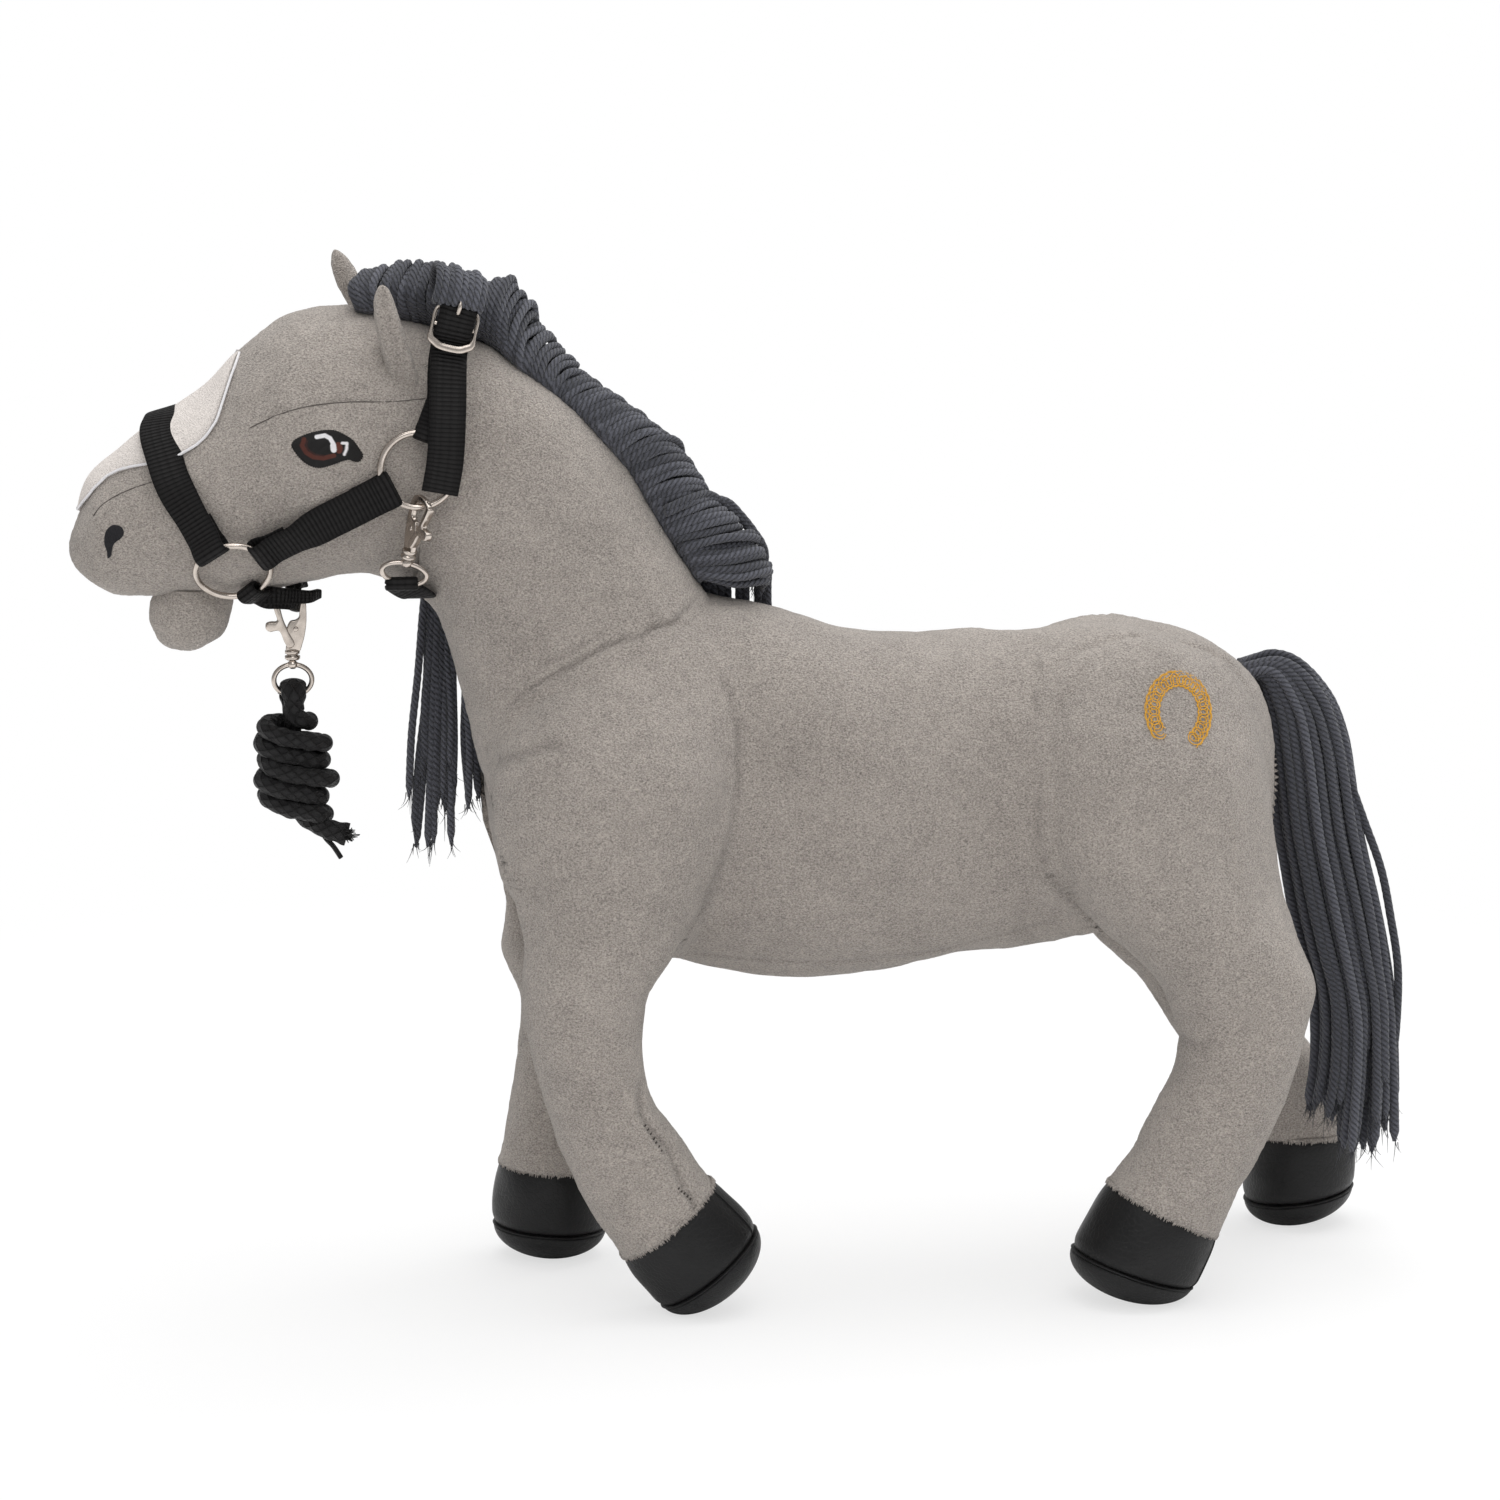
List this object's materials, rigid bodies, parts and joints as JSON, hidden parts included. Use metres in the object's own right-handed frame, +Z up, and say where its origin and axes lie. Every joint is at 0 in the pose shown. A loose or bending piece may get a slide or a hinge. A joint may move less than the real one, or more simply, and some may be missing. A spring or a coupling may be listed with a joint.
{
  "type": "plush horse with halter and lead rope",
  "caption": "Standing stuffed plush horse with leatherette hooves, yarn mane and tail, a webbing halter with rings and buckle, and a short lead rope on a swivel snap.",
  "frame": {"origin": "on the ground under the middle of the horse: the bottom centre of its bounding box", "axes": "+X from the head towards the tail, +Y towards the horse's right side, +Z up"},
  "size_m": [0.6065, 0.1707, 0.4685],
  "materials": {
    "plush": "warm grey short-pile plush",
    "nose_felt": "pale pinkish felted plush",
    "yarn": "dark blue-grey twisted yarn",
    "hoof_leatherette": "black leatherette with a soft gloss",
    "webbing": "black ribbed polyester webbing",
    "nickel": "warm nickel plate, polished",
    "leg_wire": "plain annealed wire",
    "rope": "black braided cord"
  },
  "bodies": {
    "horse": {"torso": "plush", "shoulder_wire": "leg_wire", "hip_wire": "leg_wire", "neck": "plush", "head": "plush", "lower_lip": "plush", "blaze_panel": "nose_felt", "ear_left": "plush", "ear_right": "plush", "cheek_ring_left": "nickel", "nose_ring_left": "nickel", "cheek_ring_right": "nickel", "nose_ring_right": "nickel", "noseband": "webbing", "cheek_strap_left": "webbing", "cheek_strap_right": "webbing", "buckle_strap": "webbing", "buckle_frame": "nickel", "crown_strap": "webbing", "forelock": "yarn", "mane_crest": "yarn", "mane_fall": "yarn", "chin_strap": "webbing", "throat_snap_body": "nickel", "throat_bail": "nickel", "throat_strap": "webbing"},
    "front_leg_left": {"front_leg_left": "plush", "front_leg_wire_left": "leg_wire", "front_hoof_left": "hoof_leatherette", "front_sole_left": "hoof_leatherette"},
    "front_leg_right": {"front_leg_right": "plush", "front_leg_wire_right": "leg_wire", "front_hoof_right": "hoof_leatherette", "front_sole_right": "hoof_leatherette"},
    "hind_leg_left": {"hind_leg_left": "plush", "hind_leg_wire_left": "leg_wire", "hind_hoof_left": "hoof_leatherette", "hind_sole_left": "hoof_leatherette"},
    "hind_leg_right": {"hind_leg_right": "plush", "hind_leg_wire_right": "leg_wire", "hind_hoof_right": "hoof_leatherette", "hind_sole_right": "hoof_leatherette"},
    "tail": {"tail": "yarn"},
    "buckle_tongue": {"buckle_tongue": "nickel"},
    "throat_lever": {"throat_snap_lever": "nickel"},
    "lead_snap": {"lead_snap_body": "nickel"},
    "lead_lever": {"lead_snap_lever": "nickel"},
    "lead_rope": {"lead_bail": "nickel", "lead_rope_top": "rope", "lead_rope_hank": "rope", "lead_rope_end": "rope"}
  },
  "joints": [
    {"name": "left_front_leg_swing", "type": "hinge", "parent": "horse", "child": "front_leg_left", "pos_m": [-0.064, 0, 0.232], "axis": [0, 1, 0], "range_deg": [-25, 25]},
    {"name": "right_front_leg_swing", "type": "hinge", "parent": "horse", "child": "front_leg_right", "pos_m": [-0.064, 0, 0.232], "axis": [0, 1, 0], "range_deg": [-25, 25]},
    {"name": "left_hind_leg_swing", "type": "hinge", "parent": "horse", "child": "hind_leg_left", "pos_m": [0.18, 0, 0.229], "axis": [0, 1, 0], "range_deg": [-30, 20]},
    {"name": "right_hind_leg_swing", "type": "hinge", "parent": "horse", "child": "hind_leg_right", "pos_m": [0.18, 0, 0.229], "axis": [0, 1, 0], "range_deg": [-15, 30]},
    {"name": "tail_lift", "type": "hinge", "parent": "horse", "child": "tail", "pos_m": [0.233, 0, 0.28], "axis": [0, -1, 0], "range_deg": [0, 50]},
    {"name": "buckle_tongue_lift", "type": "hinge", "parent": "horse", "child": "buckle_tongue", "pos_m": [-0.13607, -0.04243, 0.4408], "axis": [0.9701, 0, -0.2425], "range_deg": [0, 35]},
    {"name": "throat_snap_lever_press", "type": "hinge", "parent": "horse", "child": "throat_lever", "pos_m": [-0.153, -0.04661, 0.35102], "axis": [-0.9473, -0.2842, 0.1476], "range_deg": [0, 10], "stiffness_Nm_per_rad": 0.02, "springref_deg": -11.46},
    {"name": "lead_swing", "type": "hinge", "parent": "horse", "child": "lead_snap", "pos_m": [-0.207, -0.003, 0.3145], "axis": [0, 1, 0], "range_deg": [-30, 30]},
    {"name": "lead_snap_lever_press", "type": "hinge", "parent": "lead_snap", "child": "lead_lever", "pos_m": [-0.21041, -0.003, 0.29922], "axis": [0, 1, 0], "range_deg": [0, 11], "stiffness_Nm_per_rad": 0.03, "springref_deg": -11.46},
    {"name": "lead_swivel_turn", "type": "hinge", "parent": "lead_snap", "child": "lead_rope", "pos_m": [-0.2082, -0.003, 0.29], "axis": [0, 0, 1], "continuous": true}
  ]
}
